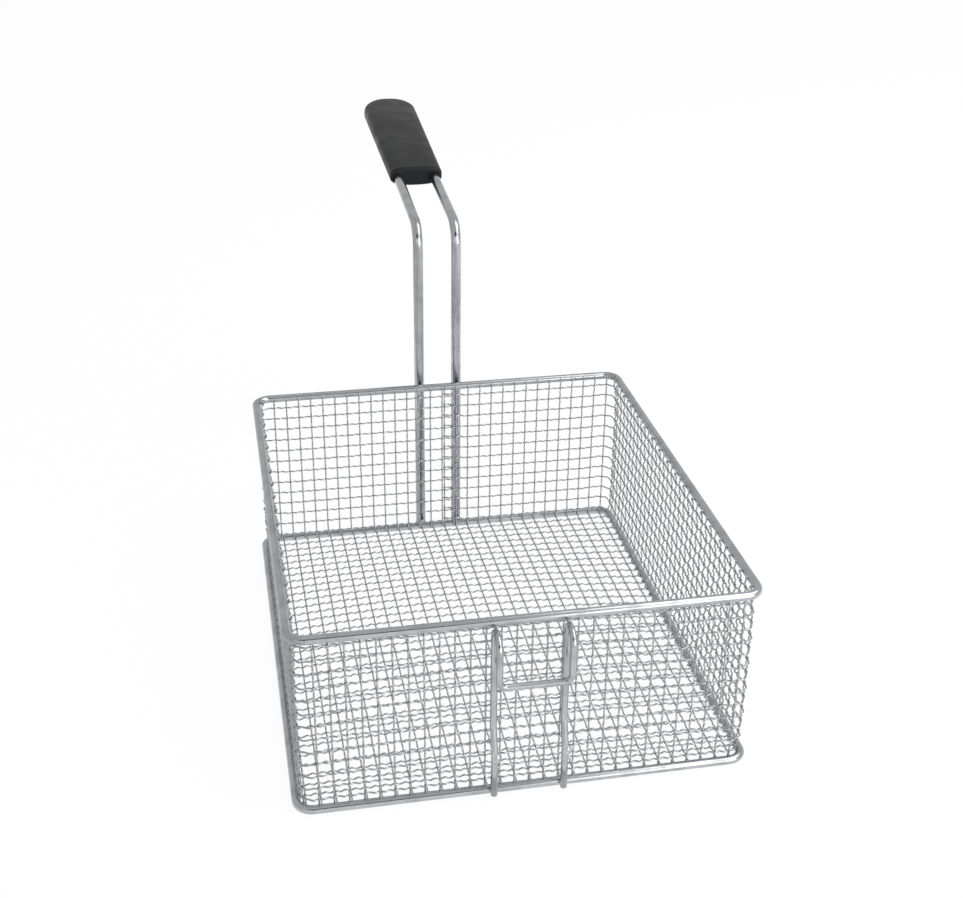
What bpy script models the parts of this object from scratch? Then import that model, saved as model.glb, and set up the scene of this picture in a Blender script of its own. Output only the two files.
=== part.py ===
"""Deep fryer basket: a woven wire box held by a rod rim and a rod foot ring, with a bent rod handle,
its moulded grip, and a bent rod hook on the front.

Metres, +Z up. The front, with the hook, faces -Y, and the handle stands at +Y. Z is 0 on the surface
that the foot ring stands on, and the origin lies under the middle of the whole length.
"""

import math

import bmesh
import bpy
from mathutils import Matrix, Vector

NAME = "deep_fryer_basket"

# The box, measured between the centre lines of the rods
BASKET_WIDTH = 0.300
BASKET_DEPTH = 0.348
BASKET_HEIGHT = 0.130
CORNER_RADIUS = 0.011
FRAME_ROD = 0.006

# The woven wire. The real mesh has a wire every 10 mm. The solid keeps about every second wire of
# the wall and every third wire of the floor, at their real thickness, and crimps only the level
# wires of the wall and the cross wires of the floor.
MESH_PITCH = 0.010
WALL_STEP = 2
FLOOR_STEP = 3
WIRE = 0.0012
WIRE_PAST_ROD = 0.0010
FLOOR_CROWN = 0.008

# The handle, one bent rod
HANDLE_ROD = 0.008
HANDLE_SPACING = 0.0306
HANDLE_RISE = 0.1355
HANDLE_TILT = math.radians(4.5)
HANDLE_BEND = 0.018
HANDLE_LOOP_BEND = 0.012
HANDLE_FOOT = 0.001

# The grip, which the rod's closed end sits in
GRIP_SETBACK = 0.107
GRIP_LENGTH = 0.186
GRIP_SIDE_WALL = 0.0029
GRIP_ABOVE_ROD = 0.0045
GRIP_BELOW_ROD = 0.0021
GRIP_FRONT_ROUNDING = 0.0015
GRIP_TOP_SQUARENESS = 6.0
GRIP_BOTTOM_SQUARENESS = 3.4
GRIP_END_WALL = 0.032

# The hook, one bent rod
HOOK_ROD = 0.004
HOOK_SPACING = 0.0458
HOOK_REACH = 0.0167
HOOK_DROP = 0.0332
HOOK_BEND = 0.0080
HOOK_BAR_BEND = 0.0050
HOOK_JOGGLE_BEND = 0.0040
HOOK_JOGGLE_LOW = 0.030
HOOK_JOGGLE_HIGH = 0.040
HOOK_FOOT = 0.0025

# Pieces that seat on each other are this far apart
CLEARANCE = 0.0003

ROD_SIDES = 12
HOOK_SIDES = 8
BEND_STEPS = 4
CORNER_STEPS = 5
CROWN_STEPS = 6
CUTTER_OVERRUN = 0.010
GRIP_RING_POINTS = 24
GRIP_END_ANGLES = (0, 20, 38, 54, 68, 80)
GRIP_END_THINNING = 0.15

# Heights of the rods, and the wall's middle surface, which passes inside both rods
RING_Z = FRAME_ROD / 2
RIM_Z = RING_Z + BASKET_HEIGHT
WALL_INSET = FRAME_ROD / 2 + CLEARANCE + WIRE / 2
WALL_HALF_X = BASKET_WIDTH / 2 - WALL_INSET
WALL_HALF_Y = BASKET_DEPTH / 2 - WALL_INSET
WALL_RADIUS = CORNER_RADIUS - WALL_INSET
CRIMP = WIRE / 2
HANDLE_Y = BASKET_DEPTH / 2 + FRAME_ROD / 2 + CLEARANCE + HANDLE_ROD / 2
GRIP_WIDTH = HANDLE_SPACING + HANDLE_ROD + 2 * GRIP_SIDE_WALL
GRIP_THICKNESS = GRIP_BELOW_ROD + HANDLE_ROD + GRIP_ABOVE_ROD
GRIP_LIFT = (GRIP_ABOVE_ROD - GRIP_BELOW_ROD) / 2

STEEL = ("plated_steel", (0.60, 0.61, 0.63), 1.0, 0.22)
WIRE_STEEL = ("plated_wire", (0.52, 0.53, 0.55), 1.0, 0.30)
GRIP_PLASTIC = ("black_grip", (0.035, 0.035, 0.038), 0.0, 0.45)


def clear_scene():
    for obj in list(bpy.data.objects):
        bpy.data.objects.remove(obj, do_unlink=True)


def new_collection(name):
    collection = bpy.data.collections.new(name)
    bpy.context.scene.collection.children.link(collection)
    return collection


def material(name, colour, metallic, roughness):
    made = bpy.data.materials.get(name)
    if made:
        return made
    made = bpy.data.materials.new(name)
    made.use_nodes = True
    shader = made.node_tree.nodes["Principled BSDF"]
    shader.inputs["Base Color"].default_value = (*colour, 1.0)
    shader.inputs["Metallic"].default_value = metallic
    shader.inputs["Roughness"].default_value = roughness
    return made


def add_part(name, data, finish):
    """A named part of the basket, carried by the empty at the basket's centre."""
    obj = bpy.data.objects.new(name, data)
    PARTS.objects.link(obj)
    data.materials.append(material(*finish))
    obj.parent = CENTRE
    return obj


def add_tool(name, data):
    """A body that only cuts or joins, hidden from the render."""
    obj = bpy.data.objects.new(name, data)
    TOOLS.objects.link(obj)
    obj.parent = CENTRE
    obj.hide_render = True
    obj.display_type = "WIRE"
    return obj


def rod_curve(name, wires, diameter, sides, cyclic=False):
    """A curve with one straight-sided tube along each list of points, its flats at the diameter."""
    curve = bpy.data.curves.new(name, "CURVE")
    curve.dimensions = "3D"
    curve.twist_mode = "Z_UP" if sides == 4 or cyclic else "MINIMUM"
    curve.bevel_depth = diameter / 2 / math.cos(math.pi / sides)
    curve.bevel_resolution = sides // 2 - 2
    curve.use_fill_caps = not cyclic
    for points in wires:
        spline = curve.splines.new("POLY")
        spline.points.add(len(points) - 1)
        for place, point in zip(spline.points, points):
            place.co = (*point, 1.0)
            place.tilt = math.pi / sides
        spline.use_cyclic_u = cyclic
    return curve


def curve_to_mesh(curve):
    """The curve's tubes as one mesh, with their caps welded on."""
    guide = bpy.data.objects.new(curve.name, curve)
    TOOLS.objects.link(guide)
    evaluated = guide.evaluated_get(bpy.context.evaluated_depsgraph_get())
    mesh = bpy.data.meshes.new_from_object(evaluated)
    bpy.data.objects.remove(guide, do_unlink=True)
    body = bmesh.new()
    body.from_mesh(mesh)
    bmesh.ops.remove_doubles(body, verts=body.verts, dist=1e-6)
    bmesh.ops.recalc_face_normals(body, faces=body.faces)
    body.to_mesh(mesh)
    body.free()
    return mesh


def add_boolean(obj, tool, operation):
    modifier = obj.modifiers.new(operation.lower(), "BOOLEAN")
    modifier.operation = operation
    modifier.solver = "EXACT"
    modifier.object = tool


def arc(centre, start, end, steps):
    """Points from start to end round the centre, both ends included."""
    first, last = start - centre, end - centre
    angle = first.angle(last)
    points = []
    for step in range(steps + 1):
        share = step / steps
        turned = first * math.sin((1 - share) * angle) + last * math.sin(share * angle)
        points.append(centre + turned / math.sin(angle))
    return points


def bent_path(corners, bends, steps=BEND_STEPS):
    """The centre line of a rod bent at each inner corner, with the bend radius given for it."""
    points = [Vector(corners[0])]
    for before, corner, after, bend in zip(corners, corners[1:], corners[2:], bends):
        corner = Vector(corner)
        back = (Vector(before) - corner).normalized()
        onward = (Vector(after) - corner).normalized()
        half_angle = back.angle(onward) / 2
        run = bend / math.tan(half_angle)
        centre = corner + (back + onward).normalized() * bend / math.sin(half_angle)
        points += arc(centre, corner + back * run, corner + onward * run, steps)
    points.append(Vector(corners[-1]))
    return points


def mirrored_path(half):
    """A half path at -X, closed by its mirror image at +X."""
    return half + [Vector((-x, y, z)) for x, y, z in reversed(half)]


class RoundedRectangle:
    """A rectangle with rounded corners, run anticlockwise from the middle of its front."""

    def __init__(self, half_x, half_y, radius):
        self.half_x, self.half_y, self.radius = half_x, half_y, radius
        flat_x, flat_y = 2 * (half_x - radius), 2 * (half_y - radius)
        turn = radius * math.pi / 2
        self.runs = [flat_x / 2, turn, flat_y, turn, flat_x, turn, flat_y, turn, flat_x / 2]
        self.length = sum(self.runs)

    def at(self, distance):
        """(point, outward direction) at this distance along the outline."""
        place, heading, left = Vector((0, -self.half_y, 0)), 0.0, distance % self.length
        for index, run in enumerate(self.runs):
            part = min(left, run)
            if index % 2 == 0:
                place += Vector((math.cos(heading), math.sin(heading), 0)) * part
            else:
                turned = part / self.radius
                middle = place + Vector((-math.sin(heading), math.cos(heading), 0)) * self.radius
                heading += turned
                place = middle + Vector((math.sin(heading), -math.cos(heading), 0)) * self.radius
            left -= part
            if left <= 0:
                break
        return place, Vector((math.sin(heading), -math.cos(heading), 0))

    def corner_stations(self, steps):
        """Distances that divide each rounded corner into this many steps."""
        stations, passed = [], 0.0
        for index, run in enumerate(self.runs):
            if index % 2 == 1:
                stations += [passed + run * step / steps for step in range(steps + 1)]
            passed += run
        return stations


def frame_rod(name, height):
    """A closed ring of rod round the outside of the mesh, standing with a flat face down."""
    outline = RoundedRectangle(BASKET_WIDTH / 2, BASKET_DEPTH / 2, CORNER_RADIUS)
    points = [outline.at(station)[0] for station in outline.corner_stations(CORNER_STEPS)]
    for point in points:
        point.z = height
    return add_part(name, rod_curve(name, [points], FRAME_ROD, ROD_SIDES, cyclic=True), STEEL)


def straight_wires(name, wires):
    """One mesh of square wires, each given by its middle, its size and its turn about Z."""
    body = bmesh.new()
    for middle, size, turn in wires:
        place = Matrix.Translation(middle) @ Matrix.Rotation(turn, 4, "Z")
        bmesh.ops.create_cube(body, size=1.0, matrix=place @ Matrix.Diagonal((*size, 1.0)))
    mesh = bpy.data.meshes.new(name)
    body.to_mesh(mesh)
    body.free()
    return mesh


def wall_row(outline, columns, row, height):
    """The points of one crimped wire, which passes outside and inside the upright wires in turn."""
    spacing = outline.length / columns
    crossings = [(index + 0.5) * spacing for index in range(columns)]
    in_corners = [
        station
        for station in outline.corner_stations(2)
        if min(abs(station - crossing) for crossing in crossings) > 2 * WIRE
    ]
    points = []
    for station in sorted(crossings + in_corners):
        wave = 2 * abs((station / spacing - 0.5) % 2 - 1) - 1
        point, outward = outline.at(station)
        point += outward * CRIMP * wave * (-1 if row % 2 else 1)
        point.z = height
        points.append(point)
    return points


def wall_mesh():
    """The wall: one woven strip bent round all four sides. Its upright wires end at the two rods."""
    outline = RoundedRectangle(WALL_HALF_X, WALL_HALF_Y, WALL_RADIUS)
    columns = 2 * round(outline.length / (2 * WALL_STEP * MESH_PITCH))
    low, high = RING_Z - WIRE_PAST_ROD, RIM_Z + WIRE_PAST_ROD
    uprights = []
    for index in range(columns):
        point, outward = outline.at((index + 0.5) * outline.length / columns)
        middle = (point.x, point.y, (low + high) / 2)
        uprights.append((middle, (WIRE, WIRE, high - low), math.atan2(outward.y, outward.x)))
    wall = add_part("wall_mesh", straight_wires("wall_mesh", uprights), WIRE_STEEL)
    gaps = int(BASKET_HEIGHT / (WALL_STEP * MESH_PITCH))
    rings = [
        wall_row(outline, columns, row, RING_Z + BASKET_HEIGHT * row / gaps)
        for row in range(1, gaps)
    ]
    crimped = curve_to_mesh(rod_curve("wall_rows", rings, WIRE, 4, cyclic=True))
    add_boolean(wall, add_tool("wall_rows", crimped), "UNION")
    return wall


def wire_reach(offset, half_across, half_along, radius):
    """Half the length of a floor wire at this offset, which the rounded corners shorten."""
    into_corner = abs(offset) + WIRE / 2 - (half_across - radius)
    if into_corner <= 0:
        return half_along - WIRE / 2
    return half_along - radius + math.sqrt(max(radius**2 - into_corner**2, 0.0))


def even_offsets(half, spacing):
    """Offsets of the wires from the middle, from edge wire to edge wire."""
    edge = half - WIRE / 2
    gaps = round(2 * edge / spacing)
    return [-edge + 2 * edge * index / gaps for index in range(gaps + 1)]


def floor_point(x, y, lift=0.0):
    """A point on the floor's middle surface, which is crowned upwards, or this far above it."""
    share = (1 - (x / WALL_HALF_X) ** 2) * (1 - (y / WALL_HALF_Y) ** 2)
    return Vector((x, y, RING_Z + FLOOR_CROWN * share + lift))


def floor_mesh():
    """The floor: a crowned woven panel inside the wall, its edge wires at the ring's height."""
    inset = WIRE / 2 + CLEARANCE
    half_x, half_y, radius = WALL_HALF_X - inset, WALL_HALF_Y - inset, WALL_RADIUS - inset
    spacing = FLOOR_STEP * MESH_PITCH
    lengthways, crossways = even_offsets(half_x, spacing), even_offsets(half_y, spacing)
    smooth = []
    for x in lengthways:
        reach = wire_reach(x, half_x, half_y, radius)
        places = [reach * (2 * step / CROWN_STEPS - 1) for step in range(CROWN_STEPS + 1)]
        smooth.append([floor_point(x, y) for y in places])
    crimped = []
    for row, y in enumerate(crossways):
        reach = wire_reach(y, half_y, half_x, radius)
        inner = [
            (x, CRIMP * (1 - 2 * ((row + column) % 2)))
            for column, x in enumerate(lengthways)
            if abs(x) < reach - WIRE
        ]
        short_of_corner = reach < half_x - WIRE
        first, last = (0.0 if short_of_corner else -lift for _, lift in (inner[0], inner[-1]))
        wire = [(-reach, first), *inner, (reach, last)]
        crimped.append([floor_point(x, y, lift) for x, lift in wire])
    mesh = curve_to_mesh(rod_curve("floor_lengths", smooth, WIRE, 4))
    floor = add_part("bottom_mesh", mesh, WIRE_STEEL)
    mesh = curve_to_mesh(rod_curve("floor_rows", crimped, WIRE, 4))
    add_boolean(floor, add_tool("floor_rows", mesh), "UNION")
    return floor


def handle_arm(distance, across=0.0):
    """A point on the handle's arm, this far from the corner where the leg meets the arm."""
    rise = RIM_Z + HANDLE_RISE
    y = HANDLE_Y + distance * math.cos(HANDLE_TILT)
    return Vector((across, y, rise + distance * math.sin(HANDLE_TILT)))


def handle_frame():
    """The handle: legs up the back of the rods, an arm to the rear, and a closed end in the grip."""
    side = HANDLE_SPACING / 2
    loop_end = GRIP_SETBACK + GRIP_LENGTH - GRIP_END_WALL
    corners = [
        (-side, HANDLE_Y, HANDLE_FOOT),
        handle_arm(0, -side),
        handle_arm(loop_end, -side),
        handle_arm(loop_end, 0),
    ]
    half = bent_path(corners, [HANDLE_BEND, HANDLE_LOOP_BEND])
    curve = rod_curve("handle_frame", [mirrored_path(half[:-1])], HANDLE_ROD, ROD_SIDES)
    return add_part("handle_frame", curve, STEEL)


def grip_section(half_width, half_thickness):
    """A moulded section across the grip: nearly flat on top, fuller below, rounded at the sides."""
    points = []
    for index in range(GRIP_RING_POINTS):
        angle = 2 * math.pi * (index + 0.5) / GRIP_RING_POINTS
        cosine, sine = math.cos(angle), math.sin(angle)
        squareness = GRIP_TOP_SQUARENESS if sine > 0 else GRIP_BOTTOM_SQUARENESS
        x = math.copysign(abs(cosine) ** (2 / squareness), cosine) * half_width
        z = math.copysign(abs(sine) ** (2 / squareness), sine) * half_thickness
        points.append((x, z))
    return points


def grip_rings():
    """(distance along the grip, half width, half thickness) of each section, front to far end."""
    half_width, half_thickness = GRIP_WIDTH / 2, GRIP_THICKNESS / 2
    rounding = GRIP_FRONT_ROUNDING
    rings = [
        (0.0, half_width - rounding, half_thickness - rounding),
        (rounding, half_width, half_thickness),
    ]
    for degrees in GRIP_END_ANGLES:
        angle = math.radians(degrees)
        along = GRIP_LENGTH - half_width + half_width * math.sin(angle)
        thinning = math.cos(angle) ** GRIP_END_THINNING
        rings.append((along, half_width * math.cos(angle), half_thickness * thinning))
    return rings


def grip_body():
    """The grip's outside, a loft through its sections with a half-round far end."""
    body = bmesh.new()
    loops = []
    for along, half_width, half_thickness in grip_rings():
        section = grip_section(half_width, half_thickness)
        loops.append([body.verts.new((x, along, z + GRIP_LIFT)) for x, z in section])
    for first, second in zip(loops, loops[1:]):
        for index in range(GRIP_RING_POINTS):
            after = (index + 1) % GRIP_RING_POINTS
            body.faces.new((first[index], first[after], second[after], second[index]))
    body.faces.new(loops[0])
    body.faces.new(loops[-1])
    bmesh.ops.recalc_face_normals(body, faces=body.faces)
    mesh = bpy.data.meshes.new("handle_grip")
    body.to_mesh(mesh)
    body.free()
    mesh.shade_smooth()
    mesh.set_sharp_from_angle(angle=math.radians(50))
    return mesh


def handle_grip():
    """The grip, moulded round the rod's closed end, which leaves two round mouths at its front."""
    side = HANDLE_SPACING / 2
    loop_end = GRIP_LENGTH - GRIP_END_WALL
    grip = add_part("handle_grip", grip_body(), GRIP_PLASTIC)
    half = bent_path(
        [(-side, -CUTTER_OVERRUN, 0), (-side, loop_end, 0), (0, loop_end, 0)], [HANDLE_LOOP_BEND]
    )
    channel = rod_curve(
        "grip_channel", [mirrored_path(half[:-1])], HANDLE_ROD + 2 * CLEARANCE, ROD_SIDES
    )
    cutter = add_tool("grip_channel", curve_to_mesh(channel))
    for obj in (grip, cutter):
        obj.location = handle_arm(GRIP_SETBACK)
        obj.rotation_euler.x = HANDLE_TILT
    add_boolean(grip, cutter, "DIFFERENCE")
    return grip


def front_hook():
    """The hook: legs on the ring and the mesh, bent over under the rim, and a bar between them."""
    side = HOOK_SPACING / 2
    on_mesh = -(WALL_HALF_Y + WIRE + CLEARANCE + HOOK_ROD / 2)
    on_ring = -(BASKET_DEPTH / 2 + FRAME_ROD / 2 + CLEARANCE + HOOK_ROD / 2)
    top = RIM_Z - FRAME_ROD / 2 - CLEARANCE - HOOK_ROD / 2
    bar = top - HOOK_DROP
    corners = [
        (-side, on_ring, HOOK_FOOT),
        (-side, on_ring, RING_Z + HOOK_JOGGLE_LOW),
        (-side, on_mesh, RING_Z + HOOK_JOGGLE_HIGH),
        (-side, on_mesh, top),
        (-side, on_mesh - HOOK_REACH, top),
        (-side, on_mesh - HOOK_REACH, bar),
        (0, on_mesh - HOOK_REACH, bar),
    ]
    bends = [HOOK_JOGGLE_BEND, HOOK_JOGGLE_BEND, HOOK_BEND, HOOK_BEND, HOOK_BAR_BEND]
    half = bent_path(corners, bends)
    curve = rod_curve("front_hook", [mirrored_path(half[:-1])], HOOK_ROD, HOOK_SIDES)
    return add_part("front_hook", curve, STEEL)


def centre_on_length():
    """Moves the basket along Y so that the origin lies under the middle of the whole length."""
    bpy.context.view_layer.update()
    graph = bpy.context.evaluated_depsgraph_get()
    reaches = []
    for obj in PARTS.objects:
        if obj.type == "EMPTY":
            continue
        evaluated = obj.evaluated_get(graph)
        mesh = evaluated.to_mesh()
        reaches += [(evaluated.matrix_world @ vertex.co).y for vertex in mesh.vertices]
        evaluated.to_mesh_clear()
    CENTRE.location.y = -(min(reaches) + max(reaches)) / 2


clear_scene()
PARTS = new_collection(NAME)
TOOLS = new_collection("cutters")
CENTRE = bpy.data.objects.new("basket_centre", None)
PARTS.objects.link(CENTRE)
wall_mesh()
floor_mesh()
frame_rod("top_rim", RIM_Z)
frame_rod("bottom_ring", RING_Z)
handle_frame()
handle_grip()
front_hook()
centre_on_length()
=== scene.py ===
"""Deep fryer basket, dressed for a render: woven wire, plated rods, a satin grip and a plain studio."""

from __future__ import annotations

import logging
import math
from dataclasses import dataclass, field
from enum import Enum
from typing import Callable, Iterable, Sequence

import bmesh
import bpy
from bpy.types import Material, Mesh
from mathutils import Matrix, Vector


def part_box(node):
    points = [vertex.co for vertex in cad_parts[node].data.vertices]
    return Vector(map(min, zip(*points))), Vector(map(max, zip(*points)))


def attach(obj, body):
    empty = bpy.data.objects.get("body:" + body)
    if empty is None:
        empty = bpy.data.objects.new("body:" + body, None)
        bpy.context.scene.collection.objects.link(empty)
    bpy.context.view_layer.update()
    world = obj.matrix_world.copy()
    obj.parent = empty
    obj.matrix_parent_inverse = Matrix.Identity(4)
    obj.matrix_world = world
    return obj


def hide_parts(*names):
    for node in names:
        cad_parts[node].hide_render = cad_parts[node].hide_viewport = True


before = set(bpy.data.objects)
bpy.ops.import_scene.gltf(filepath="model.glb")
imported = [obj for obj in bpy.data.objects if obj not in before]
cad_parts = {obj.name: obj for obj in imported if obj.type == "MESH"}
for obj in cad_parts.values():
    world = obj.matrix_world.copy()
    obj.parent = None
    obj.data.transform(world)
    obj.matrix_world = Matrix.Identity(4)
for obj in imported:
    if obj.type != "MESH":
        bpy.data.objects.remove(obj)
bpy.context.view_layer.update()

LOG = logging.getLogger("fryer_basket")
BODY = "root"
MERGE_DISTANCE = 1e-6
Pair = tuple[float, float]
Triple = tuple[float, float, float]


class Slot(Enum):
    """The record's material slots."""

    ROD = "plated_steel"
    WIRE = "plated_wire"
    GRIP = "black_grip"


class Node(Enum):
    """The CAD nodes that the pieces here stand for."""

    WALL = "wall_mesh"
    FLOOR = "bottom_mesh"
    RIM = "top_rim"
    RING = "bottom_ring"
    HANDLE = "handle_frame"
    GRIP = "handle_grip"
    HOOK = "front_hook"


class Run(Enum):
    """Which way a family of wires runs in its panel."""

    ALONG = True
    ACROSS = False


# Node trees


class Socket:
    """A node socket that takes part in Python arithmetic, adding Math nodes to its tree."""

    def __init__(self, graph: "Graph", socket: bpy.types.NodeSocket) -> None:
        """Wraps one output socket of a node in the graph."""
        self.graph = graph
        self.socket = socket

    def _math(self, operation: str, *values: "Socket | float") -> "Socket":
        """Adds one Math node.

        Args:
            operation: The node's operation.
            values: Its inputs in order.

        Returns:
            The node's result.
        """
        return self.graph.add("ShaderNodeMath", {"operation": operation}, dict(enumerate(values)))[0]

    def __add__(self, other: "Socket | float") -> "Socket":
        """Self plus other."""
        return self._math("ADD", self, other)

    def __sub__(self, other: "Socket | float") -> "Socket":
        """Self minus other."""
        return self._math("SUBTRACT", self, other)

    def __rsub__(self, other: float) -> "Socket":
        """Other minus self."""
        return self._math("SUBTRACT", other, self)

    def __mul__(self, other: "Socket | float") -> "Socket":
        """Self times other."""
        return self._math("MULTIPLY", self, other)

    def __truediv__(self, other: "Socket | float") -> "Socket":
        """Self divided by other."""
        return self._math("DIVIDE", self, other)

    def __pow__(self, other: "Socket | float") -> "Socket":
        """Self to a power."""
        return self._math("POWER", self, other)

    def cosine(self) -> "Socket":
        """The cosine of self, in radians."""
        return self._math("COSINE", self)

    def size(self) -> "Socket":
        """Self without its sign."""
        return self._math("ABSOLUTE", self)

    def smooth(self, low: float, high: float) -> "Socket":
        """Zero up to low, one from high on, and a smooth ramp between."""
        ramp = self.graph.add(
            "ShaderNodeMapRange",
            {"interpolation_type": "SMOOTHSTEP"},
            {"Value": self, "From Min": low, "From Max": high},
        )
        return ramp["Result"]

    def between(self, rise: Pair, fall: Pair) -> "Socket":
        """One between two smooth ramps, and zero outside them."""
        return self.smooth(*rise) * (1.0 - self.smooth(*fall))


class Outputs:
    """The outputs of one node, by name or by place."""

    def __init__(self, graph: "Graph", node: bpy.types.Node) -> None:
        """Holds the node and its graph."""
        self.graph = graph
        self.node = node

    def __getitem__(self, key: str | int) -> Socket:
        """The output of that name or place."""
        return Socket(self.graph, self.node.outputs[key])


class Graph:
    """Adds nodes to one node tree, for a finish, the studio or Geometry Nodes."""

    def __init__(self, tree: bpy.types.NodeTree) -> None:
        """Holds the tree."""
        self.tree = tree

    def add(self, kind: str, settings: dict | None = None, values: dict | None = None) -> Outputs:
        """Adds a node.

        Args:
            kind: The node's type name.
            settings: Properties of the node, set before its inputs.
            values: Its inputs, by name or place, as numbers or as sockets to link.

        Returns:
            The node's outputs.
        """
        node = self.tree.nodes.new(kind)
        for name, setting in (settings or {}).items():
            setattr(node, name, setting)
        for key, value in (values or {}).items():
            if isinstance(value, Socket):
                self.tree.links.new(value.socket, node.inputs[key])
            elif value is not None:
                node.inputs[key].default_value = value
        return Outputs(self, node)

    def vector(self, operation: str, *values: Socket | Sequence[float]) -> Socket:
        """Adds one Vector Math node and returns its vector."""
        return self.add("ShaderNodeVectorMath", {"operation": operation}, dict(enumerate(values)))[0]

    def scaled(self, vector: Socket, factor: Socket | float) -> Socket:
        """A vector times a number."""
        values = {0: vector, "Scale": factor}
        return self.add("ShaderNodeVectorMath", {"operation": "SCALE"}, values)["Vector"]

    def mixed(self, factor: Socket, low: Sequence[float], high: Sequence[float]) -> Socket:
        """A colour between low and high."""
        values = {"Factor": factor, 6: (*low, 1.0), 7: (*high, 1.0)}
        return self.add("ShaderNodeMix", {"data_type": "RGBA"}, values)[2]

    def joined(self, **parts: Socket) -> Socket:
        """A vector with some of its parts X, Y and Z given, and the others zero."""
        return self.add("ShaderNodeCombineXYZ", None, parts)[0]

    def parts(self, vector: Socket) -> Outputs:
        """The parts X, Y and Z of a vector."""
        return self.add("ShaderNodeSeparateXYZ", None, {0: vector})

    def noise(self, place: Socket, scale: float, detail: float) -> Socket:
        """Smooth noise at a place, from zero to one."""
        values = {"Vector": place, "Scale": scale, "Detail": detail}
        return self.add("ShaderNodeTexNoise", None, values)["Fac"]

    def bump(self, height: Socket, strength: float, distance: float) -> Socket:
        """The normal of a surface with small heights on it."""
        values = {"Strength": strength, "Distance": distance, "Height": height}
        return self.add("ShaderNodeBump", None, values)["Normal"]


class GuideTree:
    """A Geometry Nodes tree that makes finished geometry from a guide, with its inputs by name."""

    NAME = ""
    INPUTS: dict[str, object] = {}
    SOCKETS = {
        bool: "NodeSocketBool",
        int: "NodeSocketInt",
        float: "NodeSocketFloat",
        tuple: "NodeSocketVector",
        type(None): "NodeSocketMaterial",
    }

    def __init__(self) -> None:
        """Builds the tree: its inputs, what it makes, and its end."""
        self.tree = bpy.data.node_groups.new(self.NAME, "GeometryNodeTree")
        self.identifiers: dict[str, str] = {}
        side = self.tree.interface
        side.new_socket("Geometry", in_out="INPUT", socket_type="NodeSocketGeometry")
        side.new_socket("Geometry", in_out="OUTPUT", socket_type="NodeSocketGeometry")
        for name, default in self.INPUTS.items():
            made = side.new_socket(name, in_out="INPUT", socket_type=self.SOCKETS[type(default)])
            if default is not None:
                made.default_value = default
            self.identifiers[name] = made.identifier
        self.graph = Graph(self.tree)
        self.given = self.graph.add("NodeGroupInput")
        self.finish(self.made())

    def made(self) -> Socket:
        """What the tree makes, not yet dressed."""
        raise NotImplementedError

    def finish(self, made: Socket) -> None:
        """Makes the geometry real and smooth, dresses it, and ends the tree.

        Args:
            made: The geometry.
        """
        real = self.graph.add("GeometryNodeRealizeInstances", None, {0: made})
        smooth = self.graph.add("GeometryNodeSetShadeSmooth", None, {"Geometry": real[0]})
        values = {"Geometry": smooth[0], "Material": self.given["Finish"]}
        dressed = self.graph.add("GeometryNodeSetMaterial", None, values)
        self.graph.add("NodeGroupOutput", None, {"Geometry": dressed["Geometry"]})

    def run(self, name: str, data: bpy.types.ID, values: dict[str, object]) -> Mesh:
        """Runs the tree on a guide.

        Args:
            name: The new mesh's name.
            data: The guide's curve or mesh.
            values: The tree's inputs, by name.

        Returns:
            The plain mesh that it makes.
        """

        def modify(guide: bpy.types.Object) -> None:
            """Adds the tree to the guide, with its inputs."""
            modifier = guide.modifiers.new(self.NAME, "NODES")
            modifier.node_group = self.tree
            for key, value in values.items():
                modifier[self.identifiers[key]] = value

        return plain_mesh(name, data, modify)


# Finishes


@dataclass(frozen=True)
class Finish:
    """A surface with faint patches and a small relief. Its numbers start as those of bright plating."""

    name: str
    colour: Triple = (0.50, 0.51, 0.53)
    patch_colour: Triple = (0.40, 0.41, 0.43)
    metallic: float = 1.0
    specular: float = 0.5
    roughness: float = 0.14
    patch_roughness: float = 0.10
    patch_scale: float = 90.0
    patch_detail: float = 3.0
    patch_range: Pair = (0.38, 0.72)
    relief: float = 0.05
    relief_scale: float = 260.0
    relief_detail: float = 2.0
    relief_distance: float = 0.0004

    def make(self) -> Material:
        """Builds the material.

        Returns:
            The finished material.
        """
        material, graph, shader = new_material(self.name)
        place = graph.add("ShaderNodeTexCoord")["Object"]
        patches = graph.noise(place, self.patch_scale, self.patch_detail).smooth(*self.patch_range)
        relief = graph.noise(place, self.relief_scale, self.relief_detail)
        linked = {
            "Base Color": graph.mixed(patches, self.colour, self.patch_colour),
            "Roughness": patches * self.patch_roughness + self.roughness,
            "Normal": graph.bump(relief, self.relief, self.relief_distance),
        }
        for name, value in linked.items():
            link(graph, value, shader, name)
        shader.inputs["Metallic"].default_value = self.metallic
        shader.inputs["Specular IOR Level"].default_value = self.specular
        return material


def new_material(name: str) -> tuple[Material, Graph, bpy.types.Node]:
    """Starts a material with its Principled shader.

    Args:
        name: The material's name.

    Returns:
        The material, the graph of its tree, and its Principled node.
    """
    material = bpy.data.materials.new(name)
    material.use_nodes = True
    return material, Graph(material.node_tree), material.node_tree.nodes["Principled BSDF"]


def link(graph: Graph, value: Socket, node: bpy.types.Node, name: str) -> None:
    """Links a value into the named input of a node."""
    graph.tree.links.new(value.socket, node.inputs[name])


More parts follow.
